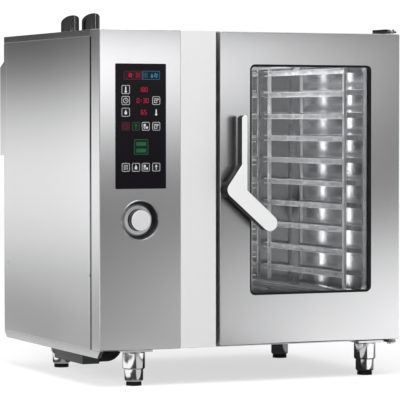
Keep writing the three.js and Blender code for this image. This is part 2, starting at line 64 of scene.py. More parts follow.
# Places are written in millimetres from the cabinet's front left corner: x to the right, y to the rear, z up.
CORNER = Vector((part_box("control_fascia")[0].x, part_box("control_fascia")[0].y, 0.0))
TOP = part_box("control_fascia")[1].z * 1000


def at(x, y, z):
    return CORNER + Vector((x, y, z)) / 1000


def span(node):
    """A CAD node's limits in those millimetres: x0, x1, y0, y1, z0, z1."""
    low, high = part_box(node)
    low, high = (low - CORNER) * 1000, (high - CORNER) * 1000
    return low.x, high.x, low.y, high.y, low.z, high.z


# ---- materials ---------------------------------------------------------------


class Look:
    """A Principled material whose colour, roughness and bump come from procedural nodes."""

    def __init__(self, name, colour, metallic=0.0, rough=0.4, **sockets):
        self.material = bpy.data.materials.new(name)
        self.material.use_nodes = True
        self.tree = self.material.node_tree
        self.shader = self.tree.nodes["Principled BSDF"]
        self.colour = colour
        self.rough = rough
        self.shader.inputs["Metallic"].default_value = metallic
        for socket, value in sockets.items():
            self.shader.inputs[socket.replace("_", " ")].default_value = value
        self.coords = self.tree.nodes.new("ShaderNodeTexCoord").outputs["Object"]

    def node(self, kind, inputs=None, **settings):
        made = self.tree.nodes.new(kind)
        for key, value in settings.items():
            setattr(made, key, value)
        for key, value in (inputs or {}).items():
            if isinstance(value, bpy.types.NodeSocket):
                self.tree.links.new(value, made.inputs[key])
            else:
                made.inputs[key].default_value = value
        return made

    def noise(self, scale, stretch=(1, 1, 1), detail=3.0, roughness=0.55):
        placed = self.node("ShaderNodeMapping", {"Vector": self.coords, "Scale": stretch})
        inputs = {"Vector": placed.outputs[0], "Scale": scale, "Detail": detail, "Roughness": roughness}
        return self.node("ShaderNodeTexNoise", inputs).outputs[0]

    def ranged(self, value, low, high, start=0.25, end=0.75):
        inputs = {"Value": value, "From Min": start, "From Max": end, "To Min": low, "To Max": high}
        return self.node("ShaderNodeMapRange", inputs).outputs[0]

    def blend(self, factor, first, second):
        mix = self.node("ShaderNodeMix", data_type="RGBA")
        self.tree.links.new(factor, mix.inputs[0])
        for index, value in ((6, first), (7, second)):
            if isinstance(value, bpy.types.NodeSocket):
                self.tree.links.new(value, mix.inputs[index])
            else:
                mix.inputs[index].default_value = (*value, 1)
        return mix.outputs[2]

    def add(self, first, second):
        return self.node("ShaderNodeMath", {0: first, 1: second}, operation="ADD").outputs[0]

    def edges(self, radius, gain=6.0):
        """1 on the rounded edges, 0 on the faces."""
        smooth = self.node("ShaderNodeBevel", {"Radius": radius}, samples=4).outputs[0]
        flat = self.node("ShaderNodeNewGeometry").outputs["Normal"]
        same = self.node("ShaderNodeVectorMath", {0: smooth, 1: flat}, operation="DOT_PRODUCT")
        return self.ranged(same.outputs["Value"], 1.0, 0.0, 1.0 - 1.0 / gain, 0.99)

    def finish(self, fine, broad, spread, rough_spread, bump, worn=None, wear=0.0, depth=0.0002):
        """fine is the grain and broad the slow change across the surface, both 0 to 1."""
        dark = [c * (1 - spread) for c in self.colour]
        light = [min(c * (1 + spread), 1.0) for c in self.colour]
        tint = self.blend(self.ranged(fine, 0.0, 1.0), dark, light)
        if worn is not None and wear > 0:
            bright = [min(c * (1 + wear), 1.0) for c in self.colour]
            tint = self.blend(worn, tint, bright)
        self.tree.links.new(tint, self.shader.inputs["Base Color"])
        low, high = self.rough - rough_spread, self.rough + rough_spread
        mixed = self.ranged(self.add(fine, broad), max(low, 0.02), high, 0.7, 1.3)
        self.tree.links.new(mixed, self.shader.inputs["Roughness"])
        if bump > 0:
            raised = self.node("ShaderNodeBump", {"Strength": bump, "Distance": depth, "Height": fine})
            self.tree.links.new(raised.outputs[0], self.shader.inputs["Normal"])
        return self.material


def brushed(name, colour, rough, along="Z", aniso=0.5, spread=0.05, bump=0.12, wear=0.12, smudge=0.05):
    """Sheet steel with a fine grain running along one axis, broad cleaning marks and bright edges."""
    look = Look(name, colour, metallic=1.0, rough=rough, Anisotropic=aniso)
    stretch = [1.0, 1.0, 1.0]
    stretch["XYZ".index(along)] = 0.012
    fine = look.noise(1500.0, stretch, detail=2.0)
    streak = look.noise(170.0, stretch, detail=4.0, roughness=0.7)
    broad = look.noise(3.2, detail=3.0)
    grain = look.node("ShaderNodeMix", {0: 0.3, 2: fine, 3: streak}).outputs[0]
    if aniso:
        tangent = look.node("ShaderNodeTangent", direction_type="RADIAL", axis="Z").outputs[0]
        look.tree.links.new(tangent, look.shader.inputs["Tangent"])
        if along != "Z":
            look.shader.inputs["Anisotropic Rotation"].default_value = 0.25
    return look.finish(grain, broad, spread, smudge, bump, look.edges(0.0012), wear, depth=0.0001)


def satin(name, colour, metallic, rough, scale=900.0, spread=0.05, bump=0.15, wear=0.1, smudge=0.06,
          **sockets):
    """Cast, moulded, plated or painted surfaces: an even grain, slow changes and worn edges."""
    look = Look(name, colour, metallic=metallic, rough=rough, **sockets)
    fine = look.noise(scale, detail=3.0)
    broad = look.noise(14.0, detail=4.0)
    return look.finish(fine, broad, spread, smudge, bump, look.edges(0.001), wear)


def lamp(name, colour, strength):
    """A lit legend behind a dark lens, a little uneven across each light guide."""
    look = Look(name, colour, rough=0.4, Specular_IOR_Level=0.2)
    uneven = look.noise(260.0, detail=1.0)
    dim = [c * 0.72 for c in colour]
    tint = look.blend(look.ranged(uneven, 0.0, 1.0), dim, colour)
    look.tree.links.new(tint, look.shader.inputs["Emission Color"])
    look.shader.inputs["Emission Strength"].default_value = strength
    return look.finish(uneven, look.noise(30.0), 0.1, 0.05, 0.05)


def glazing(name, tint, rough, dirt):
    """Oven glass: clear, with a faint film that is cloudier in patches."""
    look = Look(name, tint, rough=rough, IOR=1.2)
    look.shader.inputs["Transmission Weight"].default_value = 1.0
    film = look.noise(9.0, detail=4.0)
    streaks = look.noise(60.0, (1, 1, 0.08), detail=3.0)
    return look.finish(streaks, film, dirt, rough * 0.7, 0.0)


STEEL = brushed("panel_steel", (0.71, 0.71, 0.72), 0.25, spread=0.012, bump=0.05, smudge=0.02)
SIDE_STEEL = brushed("side_steel", (0.72, 0.72, 0.73), 0.24, spread=0.018, bump=0.04, smudge=0.02)
TOP_STEEL = brushed("lid_steel", (0.4, 0.4, 0.41), 0.27, along="X", aniso=0.4, spread=0.03, bump=0.06)
STEEL_ACROSS = brushed("rail_steel", (0.68, 0.68, 0.69), 0.27, along="X", aniso=0.4)
DOOR_STEEL = brushed("door_steel", (0.68, 0.68, 0.69), 0.22, aniso=0.45, spread=0.025, bump=0.06, smudge=0.03)
LINER = brushed("liner_steel", (0.7, 0.7, 0.71), 0.07, along="Y", aniso=0.2, spread=0.04, bump=0.04,
                smudge=0.03)
# the rack is whiter and partly diffuse compared with the liner steel: painted light, so the rails read evenly
# lit
LIT_RACK_STEEL = satin("rack_steel_painted_light", (0.92, 0.92, 0.93), 0.45, 0.26, scale=600, spread=0.04, bump=0.05, wear=0.08)
FOOT_CHROME = satin("foot_chrome", (0.8, 0.8, 0.81), 1.0, 0.1, scale=500, spread=0.04, bump=0.03, wear=0.05,
                    smudge=0.03)
CHROME = satin("chrome", (0.7, 0.7, 0.71), 1.0, 0.07, scale=500, spread=0.03, bump=0.03, wear=0.02,
               smudge=0.03)
# the exhaust pipes' dark colour is a painted dark reflection on their steel
DARKENED_PIPE_STEEL = satin("pipe_steel_painted_dark_reflection", (0.3, 0.3, 0.31), 1.0, 0.06, scale=420, spread=0.08, bump=0.05, wear=0.2)
DARK_CHROME = satin("dark_steel", (0.22, 0.22, 0.23), 1.0, 0.13, scale=420, spread=0.1, bump=0.06, smudge=0.1)
# the dish steel is darker than the panel steel: painted shade on the dial dish
SHADED_DISH_STEEL = satin("spun_steel_painted_shade", (0.5, 0.5, 0.51), 1.0, 0.24, scale=700, spread=0.08, bump=0.04, wear=0.1,
                   smudge=0.03)
# near-black colour on the knob's side wall: painted shade and painted dark reflection
SHADED_SKIRT = satin("knob_skirt_painted_shade", (0.05, 0.05, 0.052), 1.0, 0.16, scale=700, spread=0.08, bump=0.06, wear=0.2)
WELL = satin("well_steel", (0.86, 0.86, 0.87), 0.3, 0.3, scale=700, spread=0.04, bump=0.05, wear=0.05)
TRIM = satin("trim_white", (0.69, 0.69, 0.69), 0.0, 0.38, scale=1300, spread=0.02, bump=0.05, wear=0.05)
PLATE = satin("plate_white", (0.78, 0.78, 0.78), 0.0, 0.3, scale=1300, spread=0.02, bump=0.05, wear=0.04)
KNOB = satin("knob_satin", (0.6, 0.6, 0.61), 0.0, 0.36, scale=1500, spread=0.03, bump=0.08, wear=0.1)
BLACK = satin("black_plastic", (0.009, 0.009, 0.01), 0.0, 0.42, scale=1600, spread=0.3, bump=0.14, wear=1.2,
              Specular_IOR_Level=0.14)
LENS = satin("display_lens", (0.007, 0.006, 0.008), 0.0, 0.2, scale=900, spread=0.2, bump=0.02, wear=1.0,
             Specular_IOR_Level=0.06)
PIT = satin("trap_coating", (0.045, 0.045, 0.047), 0.0, 0.42, scale=420, spread=0.25, bump=0.3, wear=1.5,
            Specular_IOR_Level=0.25)
RUBBER = satin("rubber", (0.01, 0.01, 0.011), 0.0, 0.6, scale=1100, spread=0.25, bump=0.3, wear=0.8,
               Specular_IOR_Level=0.15)
WOOL = satin("mineral_wool", (0.55, 0.47, 0.33), 0.0, 0.95, scale=260, spread=0.28, bump=1.0, wear=0.0)
BOARD = satin("circuit_board", (0.02, 0.13, 0.06), 0.0, 0.45, scale=300, spread=0.35, bump=0.2, wear=0.1)
BRASS = satin("brass", (0.66, 0.49, 0.22), 1.0, 0.28, scale=700, spread=0.08, bump=0.15, wear=0.2)
CAST = satin("motor_casting", (0.2, 0.2, 0.21), 0.6, 0.55, scale=380, spread=0.2, bump=0.5, wear=0.4)
TUBE = satin("heater_tube", (0.27, 0.25, 0.24), 1.0, 0.36, scale=300, spread=0.2, bump=0.12, wear=0.1)
DARK_STEEL = satin("dark_sheet", (0.2, 0.2, 0.21), 1.0, 0.36, scale=500, spread=0.15, bump=0.1, wear=0.3)
OUTER_GLASS = glazing("outer_glass", (0.985, 0.99, 0.99), 0.006, 0.01)
INNER_GLASS = glazing("inner_glass", (0.985, 0.99, 0.988), 0.006, 0.01)
LEGEND = satin("legend_grey", (0.62, 0.62, 0.64), 0.0, 0.45, scale=900, spread=0.08, bump=0.03, wear=0.1)
RED_LIT = lamp("legend_red", (0.3, 0.004, 0.025), 0.55)
DIM_RED = lamp("legend_dim_red", (0.12, 0.004, 0.014), 0.5)
GREEN_LIT = lamp("legend_green", (0.006, 0.075, 0.026), 0.4)
BLUE_LIT = lamp("legend_blue", (0.02, 0.1, 0.19), 0.7)

# ---- shapes --------------------------------------------------------------------


def shade(mesh, sharp=32.0):
    for face in mesh.polygons:
        face.use_smooth = True
    mesh.set_sharp_from_angle(angle=math.radians(sharp))


def put(name, mesh, look, body, sharp=32.0):
    """Links a mesh as a smooth-shaded piece that rides on a body."""
    shade(mesh, sharp)
    mesh.materials.clear()
    mesh.materials.append(look)
    piece = bpy.data.objects.new(name, mesh)
    bpy.context.scene.collection.objects.link(piece)
    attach(piece, body)
    return piece


def soften(piece, width, segments=2, angle=30.0):
    rounding = piece.modifiers.new("rounded edges", "BEVEL")
    rounding.width = width / 1000
    rounding.segments = segments
    rounding.limit_method = "ANGLE"
    rounding.angle_limit = math.radians(angle)
    rounding.harden_normals = True
    return piece


def soften_folds(piece, fold, rim, segments=3):
    """Rounds the long folds on the outside of a bent sheet by fold, and every other sharp edge by rim."""
    mesh = piece.data
    points = [v.co for v in mesh.vertices]
    low = [min(p[i] for p in points) for i in range(3)]
    high = [max(p[i] for p in points) for i in range(3)]
    shape = bmesh.new()
    shape.from_mesh(mesh)
    weights = mesh.attributes.new("bevel_weight_edge", "FLOAT", "EDGE")
    shape.edges.ensure_lookup_table()
    for edge in shape.edges:
        if len(edge.link_faces) != 2 or edge.calc_face_angle(0.0) < math.radians(28):
            continue
        planes = 0
        for i in range(3):
            a, b = edge.verts[0].co[i], edge.verts[1].co[i]
            planes += any(abs(a - side) < 2e-4 and abs(b - side) < 2e-4 for side in (low[i], high[i]))
        weights.data[edge.index].value = 1.0 if planes >= 2 and edge.is_convex else rim / fold
    shape.free()
    rounding = piece.modifiers.new("folds", "BEVEL")
    rounding.width = fold / 1000
    rounding.segments = segments
    rounding.limit_method = "WEIGHT"
    rounding.use_clamp_overlap = False
    rounding.harden_normals = True


def refine(node, look, width=0.6, segments=2, angle=30.0, cuts=(), fold=0.0):
    """The CAD node's own shape, cleaned, with rounded edges; cuts are closed meshes taken out of it."""
    source = NODES[node]
    shape = bmesh.new()
    shape.from_mesh(source.data)
    bmesh.ops.remove_doubles(shape, verts=shape.verts, dist=1e-6)
    bmesh.ops.dissolve_limit(shape, angle_limit=math.radians(0.4), verts=shape.verts, edges=shape.edges)
    mesh = bpy.data.meshes.new(node + "_sheet")
    shape.to_mesh(mesh)
    shape.free()
    piece = put(node + "_fine", mesh, look, source["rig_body"])
    for index, cut in enumerate(cuts):
        carve(piece, cut, index)
    if fold:
        soften_folds(piece, fold, width, segments)
    elif width:
        soften(piece, width, segments, angle)
    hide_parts(node)
    return piece


def carve(piece, cutter_mesh, index):
    """Takes a closed mesh out of a piece for good."""
    cutter = bpy.data.objects.new(f"cut_{index}", cutter_mesh)
    bpy.context.scene.collection.objects.link(cutter)
    taking = piece.modifiers.new("cut", "BOOLEAN")
    taking.object = cutter
    taking.operation = "DIFFERENCE"
    taking.solver = "EXACT"
    graph = bpy.context.evaluated_depsgraph_get()
    result = bpy.data.meshes.new_from_object(piece.evaluated_get(graph))
    piece.modifiers.remove(taking)
    old, piece.data = piece.data, result
    bpy.data.meshes.remove(old)
    bpy.data.objects.remove(cutter)
    shade(result)


TURNED = {
    "X": Matrix(((0, 0, 1), (1, 0, 0), (0, 1, 0))),
    "Y": Matrix(((1, 0, 0), (0, 0, 1), (0, -1, 0))),
    "Z": Matrix.Identity(3),
}


def lathe_mesh(name, profile, centre, axis="Z", steps=72, wobble=None):
    """Turns (radius, height) pairs in millimetres about an axis through centre; height is along it."""
    shape = bmesh.new()
    add_lathe(shape, profile, centre, axis, steps, wobble)
    mesh = bpy.data.meshes.new(name)
    shape.to_mesh(mesh)
    shape.free()
    return mesh


def add_lathe(shape, profile, centre, axis="Z", steps=72, wobble=None):
    turn = TURNED[axis]
    rings = []
    for radius, height in profile:
        count = 1 if radius < 1e-6 else steps
        ring = []
        for k in range(count):
            a = 2 * math.pi * k / steps
            r = radius + (wobble(k, steps, radius, height) if wobble else 0.0)
            local = Vector((r * math.cos(a), r * math.sin(a), height))
            ring.append(shape.verts.new(at(*centre) + (turn @ local) / 1000))
        rings.append(ring)
    faces = []
    for low, high in zip(rings, rings[1:]):
        for k in range(steps):
            a, b = low[k % len(low)], low[(k + 1) % len(low)]
            c, d = high[(k + 1) % len(high)], high[k % len(high)]
            corners = list(dict.fromkeys((a, b, c, d)))
            if len(corners) > 2:
                faces.append(shape.faces.new(corners))
    shape.normal_update()
    bmesh.ops.recalc_face_normals(shape, faces=faces)


def fillet(profile, radius=0.8, parts=3, closed=False):
    """Rounds each corner of a profile that isn't on the axis."""
    out = []
    count = len(profile)
    for i, point in enumerate(profile):
        if not closed and i in (0, count - 1):
            out.append(point)
            continue
        here = Vector(point)
        before, after = Vector(profile[i - 1]) - here, Vector(profile[(i + 1) % count]) - here
        cut = min(radius, before.length * 0.45, after.length * 0.45)
        start, end = here + before.normalized() * cut, here + after.normalized() * cut
        for k in range(parts + 1):
            t = k / parts
            out.append(tuple(start.lerp(here, t).lerp(here.lerp(end, t), t)))
    if closed:
        out.append(out[0])
    return out


def lathe(name, profile, centre, look, body, axis="Z", steps=72, standing_for=(), wobble=None):
    piece = put(name, lathe_mesh(name, profile, centre, axis, steps, wobble), look, body)
    if standing_for:
        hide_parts(*standing_for)
    return piece


def rounded(x0, x1, z0, z1, r, parts=4):
    points = []
    corners = ((x1 - r, z0 + r, -90), (x1 - r, z1 - r, 0), (x0 + r, z1 - r, 90), (x0 + r, z0 + r, 180))
    for cx, cz, start in corners:
        for k in range(parts + 1):
            a = math.radians(start + 90 * k / parts)
            points.append((cx + r * math.cos(a), cz + r * math.sin(a)))
    return points


def disc(x, z, r, parts=18):
    angles = [2 * math.pi * k / parts for k in range(parts)]
    return [(x + r * math.cos(a), z + r * math.sin(a)) for a in angles]


def stroke(xa, za, xb, zb, w):
    """A bar from one point to another, w wide."""
    along = Vector((xb - xa, zb - za)).normalized() * w / 2
    side = Vector((-along.y, along.x))
    a, b = Vector((xa, za)), Vector((xb, zb))
    return [tuple(p) for p in (a - along - side, b + along - side, b + along + side, a - along + side)]


def face_at(plane, height, place):
    """A point of a flat outline set at a depth: 'front' lies in x and z, 'side' in y and z, 'top' in x, y."""
    a, b = place
    return {"front": at(a, height, b), "side": at(height, a, b), "top": at(a, b, height)}[plane]


def slab(shape, points, near, far, plane="front", hole=None):
    """Adds a closed plate from an outline, or from two outlines with equal counts when there is a hole."""
    loops = [points] if hole is None else [points, hole]
    verts = [[[shape.verts.new(face_at(plane, h, p)) for p in loop] for h in (near, far)] for loop in loops]
    count = len(points)
    made = []
    for front, back in verts:
        for k in range(count):
            n = (k + 1) % count
            made.append(shape.faces.new((front[k], front[n], back[n], back[k])))
    for level in (0, 1):
        outer = verts[0][level]
        if hole is None:
            made.append(shape.faces.new(outer))
            continue
        inner = verts[1][level]
        for k in range(count):
            n = (k + 1) % count
            made.append(shape.faces.new((outer[k], outer[n], inner[n], inner[k])))
    bmesh.ops.recalc_face_normals(shape, faces=made)


def assembled(name, build, look, body, width=0.0, segments=2):
    """A piece made by a function that fills a bmesh."""
    shape = bmesh.new()
    build(shape)
    mesh = bpy.data.meshes.new(name)
    shape.to_mesh(mesh)
    shape.free()
    piece = put(name, mesh, look, body)
    if width:
        soften(piece, width, segments)
    return piece


# ---- cabinet skin ----------------------------------------------------------------

SCREWS_LEFT = [(812, 338), (82, 336)]
SCREWS_RIGHT = [(812, 338), (82, 336), (812, 960)]
COUNTERSINK = [(0.0, -1.0), (4.6, -1.0), (4.6, 0.2), (3.6, 0.95), (0.0, 0.95)]
SIDE_SCREW = [(3.5, 0.93), (3.5, 0.5), (3.1, 0.18), (1.9, 0.12), (1.5, 0.6), (0, 0.65)]
REAR_SCREW = [(0, 0.5), (1.6, 0.9), (2.0, 1.9), (3.4, 1.7), (4.2, 0.9), (4.3, 0.0), (0, 0.0)]
WIDTH = 1015      # outside of the left panel to the outside of the right one
REAR = 850        # outside of the rear panel
COVER = 1.6       # thickness of the service cover on it
RIM_SWELL = 0.00011   # how far rounding makes a side panel's rim stand out, in metres


def joint_groove():
    """A shallow step along the front edge of the left panel, as a cutter, which the black painted-shadow
    strip lies in.
    """
    shape = bmesh.new()
    slab(shape, [(-2.0, 66.0), (1.0, 66.0), (1.0, 77.5), (-2.0, 77.5)], 90.0, TOP - 21.5, plane="top")
    mesh = bpy.data.meshes.new("joint_groove")
    shape.to_mesh(mesh)
    shape.free()
    return mesh


def countersinks(places, x, inward):
    """Shallow round recesses in a side panel, as cutters."""
    profile = [(r, h * inward) for r, h in COUNTERSINK]
    return [lathe_mesh("countersink", profile, (x, y, z), "X", 28) for y, z in places]


left_panel = refine("left_side_panel", SIDE_STEEL, 0.3, 3, fold=2.2,
                    cuts=[*countersinks(SCREWS_LEFT, 0, 1), joint_groove()])
right_panel = refine("right_side_panel", SIDE_STEEL, 0.3, 3, fold=2.2,
                     cuts=countersinks(SCREWS_RIGHT, WIDTH, -1))
for panel, inward in ((left_panel, 1), (right_panel, -1)):
    panel.data.transform(Matrix.Translation((RIM_SWELL * inward, 0, 0)))
refine("rear_panel", STEEL, 0.3, 3, fold=2.4)
refine("top_cover", TOP_STEEL, 0.3, 3, fold=2.4)
refine("base_frame", STEEL_ACROSS, 0.9)
refine("control_fascia", STEEL, 0.3, 4, fold=3.2)
refine("fascia_trim_strip", TRIM, 0.3, 4, fold=2.6)
refine("rear_air_duct", STEEL, 0.8)


def screw_heads(shape, places, x, inward):
    """Pan heads with a shallow round recess in the middle, sitting in the countersinks."""
    for y, z in places:
        add_lathe(shape, [(r, h * inward) for r, h in SIDE_SCREW], (x, y, z), "X", 20)


assembled("left_panel_screws", lambda s: screw_heads(s, SCREWS_LEFT, 0, 1),
          DARK_CHROME, "cabinet")
assembled("right_panel_screws", lambda s: screw_heads(s, SCREWS_RIGHT, WIDTH, -1),
          DARK_CHROME, "cabinet")


def joint_shadow_strips(shape):
    """Black rubber strips as painted shadow in the joint behind the control pan and in the gap beside the
    door.
    """
    # painted shadow: a black strip filling the joint between the left panel and the control pan
    joint_shade = [(0.3, 69.1), (4.0, 69.1), (4.0, 70.9), (0.9, 70.9), (0.9, 77.3), (0.3, 77.3)]
    slab(shape, joint_shade, 114.0, TOP - 22.0, plane="top")
    # painted shadow: a black strip standing in the gap between the control pan and the door
    lip = [(383.2, 69.8), (383.2, 58.0), (386.0, 55.5), (390.0, 55.5), (393.2, 58.5), (393.2, 69.8)]
    slab(shape, lip, 114.0, TOP - 1.0, plane="top")


assembled("joint_shadow_strips", joint_shadow_strips, RUBBER, "cabinet", 0.12)


def louvres(shape):
    """Three columns of nine louvres on the rear panel."""
    length, pitch, lift = 130, 26, 5.5
    for x in (420, 600, 780):
        for row in range(9):
            z = 300 + row * pitch
            profile = [(REAR, z), (REAR + lift, z + 3), (REAR + lift, z + 6), (REAR, z + 15)]
            a = [shape.verts.new(at(x, y, h)) for y, h in profile]
            b = [shape.verts.new(at(x + length, y, h)) for y, h in profile]
            faces = [shape.faces.new(a), shape.faces.new(b)]
            faces += [shape.faces.new((a[k], a[(k + 1) % 4], b[(k + 1) % 4], b[k])) for k in range(4)]
            bmesh.ops.recalc_face_normals(shape, faces=faces)


assembled("rear_louvres", louvres, STEEL, "cabinet", 0.6)


def rear_screws(shape):
    places = [(x, z) for x in (40, 345, 670, 980) for z in (135, 1035)]
    places += [(x, z) for x in (40, 980) for z in (420, 720)]
    for x, z in places:
        add_lathe(shape, REAR_SCREW, (x, REAR, z), "Y", 24)


assembled("rear_screws", rear_screws, DARK_CHROME, "cabinet")


def service_cover(shape):
    """A screwed cover plate on the rear panel, above the louvres."""
    slab(shape, rounded(330, 930, 610, 1000, 8), REAR, REAR + COVER)


assembled("rear_service_cover", service_cover, STEEL, "cabinet", 0.5)


def cover_screws(shape):
    for x in (346, 630, 914):
        for z in (626, 984):
            add_lathe(shape, REAR_SCREW, (x, REAR + COVER, z), "Y", 24)


assembled("service_cover_screws", cover_screws, DARK_CHROME, "cabinet")

# ---- feet ---------------------------------------------------------------------------

FOOT_BORE = 29.0   # inside radius of a foot's sleeve
PAD = [(0, 0), (23.4, 0), (24, 1.0), (24, 3.4), (23, 4.2), (23, 5.4), (24, 6.2), (24, 9.0), (22, 10.1),
       (0, 10.1)]

for corner in ("front_left", "front_right", "rear_left", "rear_right"):
    x0, x1, y0, y1, z0, z1 = span("foot_sleeve_" + corner)
    x, y, r = (x0 + x1) / 2, (y0 + y1) / 2, (x1 - x0) / 2
    sleeve = fillet([(FOOT_BORE, z0), (r - 3.5, z0), (r, z0 + 3.5), (r, z1 - 4), (r - 1.5, z1),
                     (FOOT_BORE, z1)], 0.8, closed=True)
    lathe("foot_collar_" + corner, sleeve, (x, y, 0), FOOT_CHROME, "cabinet",
          standing_for=("foot_sleeve_" + corner,))
    tip = span("foot_leg_" + corner)
    leg_r = (tip[1] - tip[0]) / 2
    shank = fillet([(0, 10.2), (21.5, 10.2), (24.5, 12.5), (leg_r, 17), (leg_r, 70), (leg_r - 1.5, 90),
                    (0, 90)], 1.0)
    body = NODES["foot_leg_" + corner]["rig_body"]
    lathe("foot_shank_" + corner, shank, (x, y, 0), FOOT_CHROME, body,
          standing_for=("foot_leg_" + corner,))
    lathe("foot_pad_" + corner, fillet(PAD, 0.4), (x, y, 0), RUBBER, body)

# ---- dial ----------------------------------------------------------------------------

dish = span("dial_dish")
DIAL_X, DIAL_Z = (dish[0] + dish[1]) / 2, (dish[4] + dish[5]) / 2
rim = (dish[1] - dish[0]) / 2
bowl = fillet([(5.0, 20.0), (43.6, 20.0), (57.8, -0.9), (58.4, -1.3), (61.0, -1.3), (rim, -0.9), (rim, -0.35),
               (59.6, -0.35), (45.0, 21.2), (5.0, 21.2)], 0.6, closed=True)
lathe("dial_bowl", bowl, (DIAL_X, 0, DIAL_Z), SHADED_DISH_STEEL, "cabinet", "Y", 96,
      standing_for=("dial_dish",))


def grip(k, steps, radius, height):
    """Shallow flutes round the knob's skirt."""
    if radius <= 31 or not 0 < height < 15:
        return 0.0
    return -0.5 * max(0.0, math.cos(24 * 2 * math.pi * k / steps))


knob = fillet([(0, -5.4), (30.6, -5.4), (32.0, -4.6), (32.4, -2.0), (32.4, 0.5), (32.3, 14.5),
               (31.2, 16.9), (3.3, 16.9), (3.3, 10.2), (0, 10.2)], 0.5)
lathe("dial_cap", knob, (DIAL_X, 0, DIAL_Z), SHADED_SKIRT, "dial", "Y", 144,
      standing_for=("dial_knob",), wobble=grip)
face = fillet([(0, -6.75), (28.6, -6.95), (30.6, -6.3), (31.3, -5.5), (0, -5.5)], 0.5)
lathe("dial_face", face, (DIAL_X, 0, DIAL_Z), KNOB, "dial", "Y", 96)
well = fillet([(33.4, 19.0), (42.6, 19.0), (43.6, 19.6), (33.4, 19.6)], 0.3, closed=True)
lathe("dial_well", well, (DIAL_X, 0, DIAL_Z), WELL, "cabinet", "Y", 96)
lip = fillet([(58.6, -1.98), (61.0, -1.98), (61.4, -1.4), (58.4, -1.4)], 0.2, closed=True)
lathe("dial_rim", lip, (DIAL_X, 0, DIAL_Z), CHROME, "cabinet", "Y", 128)

# ---- display and keys ------------------------------------------------------------------

px0, px1, _, py1, pz0, pz1 = span("display_panel")
FACE, KEY, INK = -1.35, -1.6, -1.78   # fronts of the panel, its keys and their signs


def panel_plate(shape):
    slab(shape, rounded(px0, px1, pz0, pz1, 3.0, 6), FACE, py1)


lens = assembled("display_glass", panel_plate, LENS, "cabinet", 0.4)
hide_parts("display_panel")

inks = {ink: bmesh.new() for ink in ("grey", "red", "dim_red", "green", "blue")}
keys = bmesh.new()


def down(depth):
    return TOP - depth


def mark(ink, points, hole=None):
    slab(inks[ink], points, INK, KEY + 0.04, hole=hole)


def key(x, z, size, ink, line=1.1):
    """A key cap with a lit or printed outline."""
    h = size / 2
    slab(keys, rounded(x - h, x + h, z - h, z + h, 4.0), KEY, FACE + 0.05)
    mark(ink, rounded(x - h, x + h, z - h, z + h, 4.0),
         rounded(x - h + line, x + h - line, z - h + line, z + h - line, 3.0))


SEGMENTS = {"0": "abcdef", "1": "bc", "2": "abged", "3": "abgcd", "5": "afgcd", "6": "afgedc", "8": "abcdefg"}


def digits(text, x, z, ink="red", height=13.0):
    """Seven-segment figures centred on x."""
    w, h, t = height * 0.5, height / 2, height * 0.13
    pitch = w + height * 0.28
    left = x - pitch * (len(text) - 1) / 2
    for i, figure in enumerate(text):
        cx = left + i * pitch
        if figure == ":":
            for dz in (-h * 0.4, h * 0.4):
                slab(inks[ink], disc(cx, z + dz, t * 0.7, 10), INK, FACE + 0.05)
            continue
        ends = {
            "a": (-w / 2, h, w / 2, h), "g": (-w / 2, 0, w / 2, 0), "d": (-w / 2, -h, w / 2, -h),
            "f": (-w / 2, h, -w / 2, 0), "b": (w / 2, h, w / 2, 0),
            "e": (-w / 2, 0, -w / 2, -h), "c": (w / 2, 0, w / 2, -h),
        }
        for name in SEGMENTS[figure]:
            xa, za, xb, zb = ends[name]
            along = Vector((xb - xa, zb - za)).normalized() * t * 0.75
            bar = stroke(cx + xa + along.x, z + za + along.y, cx + xb - along.x, z + zb - along.y, t)
            slab(inks[ink], bar, INK, FACE + 0.05)


def thermometer(x, z, ink="grey"):
    mark(ink, rounded(x - 1.8, x + 1.8, z - 4, z + 9, 1.7))
    mark(ink, disc(x, z - 6.5, 3.6))


def clock(x, z, ink="grey"):
    mark(ink, disc(x, z, 8.2), disc(x, z, 6.8))
    mark(ink, stroke(x, z, x, z + 4.4, 1.3))
    mark(ink, stroke(x + 0.4, z, x + 3.6, z - 1.6, 1.3))


def drop(x, z, ink="grey"):
    angles = [math.radians(-130 + 20 * k) for k in range(14)]
    points = [(x + 4.2 * math.sin(a), z - (2.5 + 4.2 * math.cos(a))) for a in angles]
    mark(ink, points + [(x, z + 8.0)])


def tray(x, z, ink="grey"):
    mark(ink, stroke(x - 7, z + 5.5, x + 6, z + 5.5, 1.6))
    mark(ink, rounded(x - 7, x + 3, z - 7, z + 2, 1.5), rounded(x - 5.6, x + 1.6, z - 5.6, z + 0.6, 1.0))
    mark(ink, stroke(x + 3, z + 1, x + 7.5, z + 4, 1.6))


def waves(x, z, ink="grey"):
    for k in (-5, 0, 5):
        for j in range(4):
            lean = 1.3 if j % 2 else -1.3
            mark(ink, stroke(x + k + lean, z - 7 + j * 3.6, x + k - lean, z - 3.6 + j * 3.6, 1.2))


def fan_mark(x, z, ink="grey"):
    for k in range(4):
        a = math.radians(90 * k + 25)
        mark(ink, disc(x + 4.4 * math.cos(a), z + 4.4 * math.sin(a), 2.9, 12))


def arrow(x, z, ink="grey"):
    mark(ink, [(x - 4.5, z + 1), (x + 4.5, z + 1), (x, z + 8)])
    mark(ink, stroke(x, z - 7, x, z + 1, 2.2))


def squares(x, z, ink="grey"):
    mark(ink, rounded(x - 7, x, z, z + 7, 1))
    mark(ink, rounded(x + 1, x + 7, z - 7, z - 1, 1))
    mark(ink, rounded(x - 7, x - 1, z - 7, z - 1, 1), rounded(x - 5.6, x - 2.4, z - 5.6, z - 2.4, 0.6))


